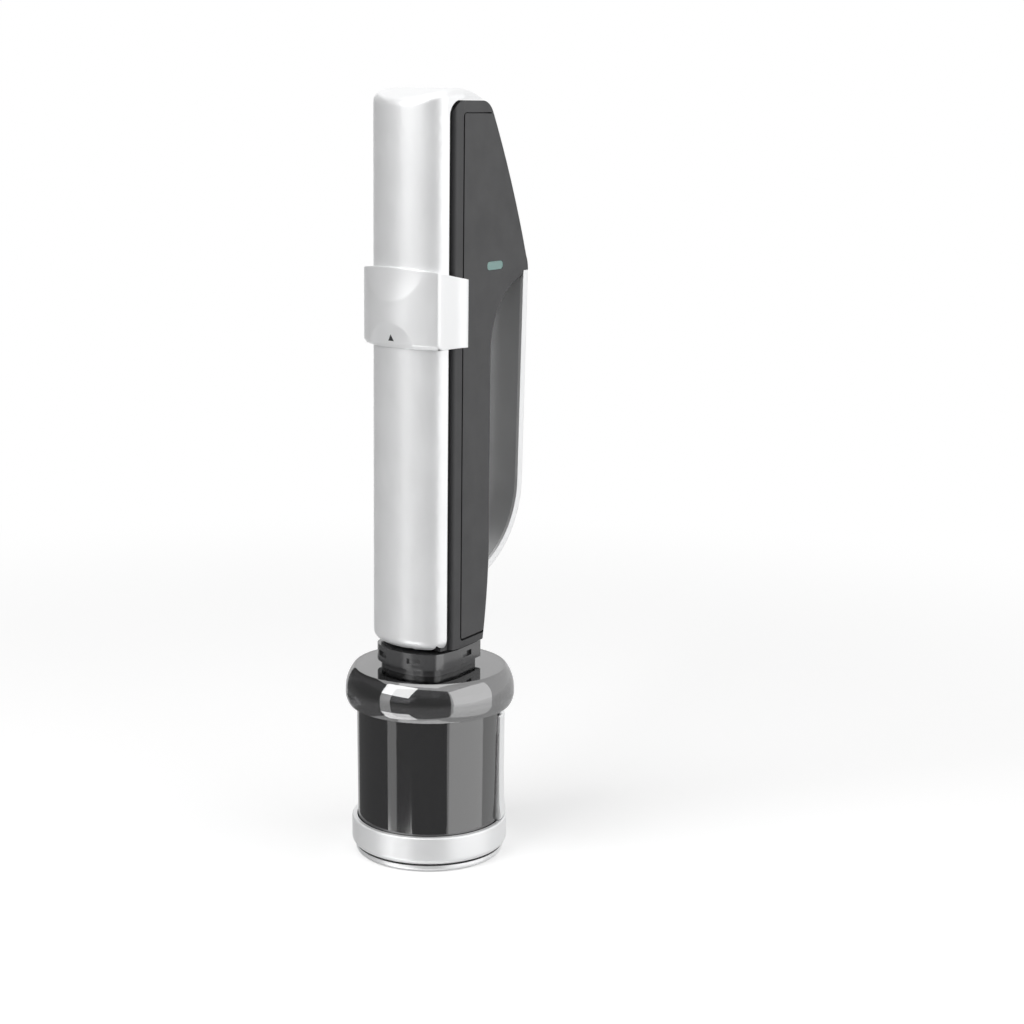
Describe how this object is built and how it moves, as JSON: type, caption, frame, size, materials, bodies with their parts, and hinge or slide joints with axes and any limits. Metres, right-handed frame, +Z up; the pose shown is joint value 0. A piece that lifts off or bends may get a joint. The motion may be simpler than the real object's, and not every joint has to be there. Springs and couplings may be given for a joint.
{
  "type": "wine preservation dispenser",
  "caption": "Handheld gas charger with a D-shaped handle, hinged front cover and sliding clasp, standing on a clamping stopper for a sparkling wine bottle.",
  "frame": {"origin": "on the axis of the stopper's bottle socket, at the plane of its foot, which is the mouth of the socket", "axes": "+Z up along the socket's axis, -Y towards the bright front cover, +Y towards the handle, +X to the side with the stopper's lever"},
  "size_m": [0.0738, 0.0881, 0.3301],
  "materials": {
    "satin_silver": "satin, bead blasted",
    "bright_steel": "fine satin",
    "charcoal": "fine matt, charcoal",
    "dark_liner": "semi gloss, dark",
    "gloss_black": "high gloss",
    "smoked_gloss": "high gloss, smoked",
    "smoked_clear": "clear, smoked grey",
    "window_clear": "clear, faintly blue",
    "flag_mint": "satin, pale blue green",
    "black_plastic": "satin",
    "soft_seal": "matt",
    "steel": "drawn",
    "machined_metal": "turned",
    "capsule_steel": "zinc plated"
  },
  "bodies": {
    "stopper": {"foot_ring": "bright_steel", "base_screws": "steel", "ring_gasket": "soft_seal", "base_ring": "satin_silver", "stopper_shell": "gloss_black", "inner_core": "black_plastic", "top_cap": "gloss_black", "cap_screws": "steel", "bottle_seal": "soft_seal", "valve_body": "machined_metal", "valve_seat": "soft_seal", "valve_spring": "steel", "lever_leaf": "bright_steel", "lever_keeper": "bright_steel", "lever_pin": "steel"},
    "lever": {"lever": "bright_steel"},
    "clamp_ring": {"clamp_ring": "black_plastic"},
    "jaw_1": {"clamp_jaw_1": "steel"},
    "jaw_2": {"clamp_jaw_2": "steel"},
    "jaw_3": {"clamp_jaw_3": "steel"},
    "poppet": {"valve_poppet": "machined_metal"},
    "charger": {"bell": "smoked_clear", "bell_seal": "soft_seal", "neck_collar": "smoked_gloss", "neck_screws": "steel", "nozzle_guide": "bright_steel", "nozzle_spring": "steel", "regulator_body": "machined_metal", "regulator_spring": "steel", "capsule_socket": "black_plastic", "capsule_seal": "soft_seal", "piercing_needle": "steel", "gas_tube": "machined_metal", "chassis": "charcoal", "right_side_panel": "charcoal", "left_side_panel": "charcoal", "panel_screws": "steel", "right_window": "window_clear", "left_window": "window_clear", "indicator_cylinder": "machined_metal", "indicator_spring": "steel", "handle_bow": "satin_silver", "bow_liner": "dark_liner", "cover_hinge_pin": "steel"},
    "nozzle": {"nozzle": "machined_metal", "nozzle_oring": "soft_seal"},
    "reg_piston": {"regulator_piston": "machined_metal"},
    "indicator": {"indicator_flag": "flag_mint"},
    "cover": {"front_cover": "satin_silver", "cover_liner": "dark_liner"},
    "clasp": {"clasp": "satin_silver", "clasp_slider": "dark_liner", "clasp_screw": "steel"},
    "capsule": {"gas_capsule": "capsule_steel", "capsule_cup": "black_plastic"}
  },
  "joints": [
    {"name": "lever_hinge", "type": "hinge", "parent": "stopper", "child": "lever", "pos_m": [0.02191, 0.01838, 0.06], "axis": [0.6428, -0.766, 0], "range_deg": [0, 85]},
    {"name": "clamp_slide", "type": "slide", "parent": "stopper", "child": "clamp_ring", "axis": [0, 0, -1], "range_m": [0, 0.00541]},
    {"name": "jaw_1_slide", "type": "slide", "parent": "stopper", "child": "jaw_1", "axis": [-0.1736, 0.9848, 0], "range_m": [0, 0.00191]},
    {"name": "jaw_2_slide", "type": "slide", "parent": "stopper", "child": "jaw_2", "axis": [-0.766, -0.6428, 0], "range_m": [0, 0.00191]},
    {"name": "jaw_3_slide", "type": "slide", "parent": "stopper", "child": "jaw_3", "axis": [0.9397, -0.342, 0], "range_m": [0, 0.00191]},
    {"name": "poppet_slide", "type": "slide", "parent": "stopper", "child": "poppet", "axis": [0, 0, -1], "range_m": [0, 0.002], "stiffness_N_per_m": 200, "springref_m": -0.001, "deforming": ["valve_spring"]},
    {"name": "charger_lift", "type": "slide", "parent": "stopper", "child": "charger", "axis": [0, 0, 1], "range_m": [0, 0.09]},
    {"name": "nozzle_slide", "type": "slide", "parent": "charger", "child": "nozzle", "axis": [0, 0, 1], "range_m": [0, 0.003], "stiffness_N_per_m": 400, "springref_m": -0.002, "deforming": ["nozzle_spring"]},
    {"name": "piston_slide", "type": "slide", "parent": "charger", "child": "reg_piston", "axis": [0, 0, 1], "range_m": [0, 0.00101], "deforming": ["regulator_spring"]},
    {"name": "indicator_slide", "type": "slide", "parent": "charger", "child": "indicator", "axis": [0, 0, 1], "range_m": [0, 0.0032], "stiffness_N_per_m": 60, "springref_m": -0.003, "deforming": ["indicator_spring"]},
    {"name": "cover_hinge", "type": "hinge", "parent": "charger", "child": "cover", "pos_m": [0, -0.017, 0.101], "axis": [1, 0, 0], "range_deg": [0, 60]},
    {"name": "clasp_slide", "type": "slide", "parent": "cover", "child": "clasp", "axis": [0, 0, 1], "range_m": [0, 0.012]},
    {"name": "capsule_slide", "type": "slide", "parent": "charger", "child": "capsule", "axis": [0, 0, 1], "range_m": [0, 0.00301]}
  ],
  "couplings": [
    {"joint": "clamp_slide", "follows": "lever_hinge", "m_per_rad": 0.0036431},
    {"joint": "jaw_1_slide", "follows": "lever_hinge", "m_per_rad": 0.0012807},
    {"joint": "jaw_2_slide", "follows": "lever_hinge", "m_per_rad": 0.0012807},
    {"joint": "jaw_3_slide", "follows": "lever_hinge", "m_per_rad": 0.0012807},
    {"joint": "piston_slide", "follows": "nozzle_slide", "ratio": 0.33333},
    {"joint": "capsule_slide", "follows": "clasp_slide", "ratio": 0.25}
  ]
}
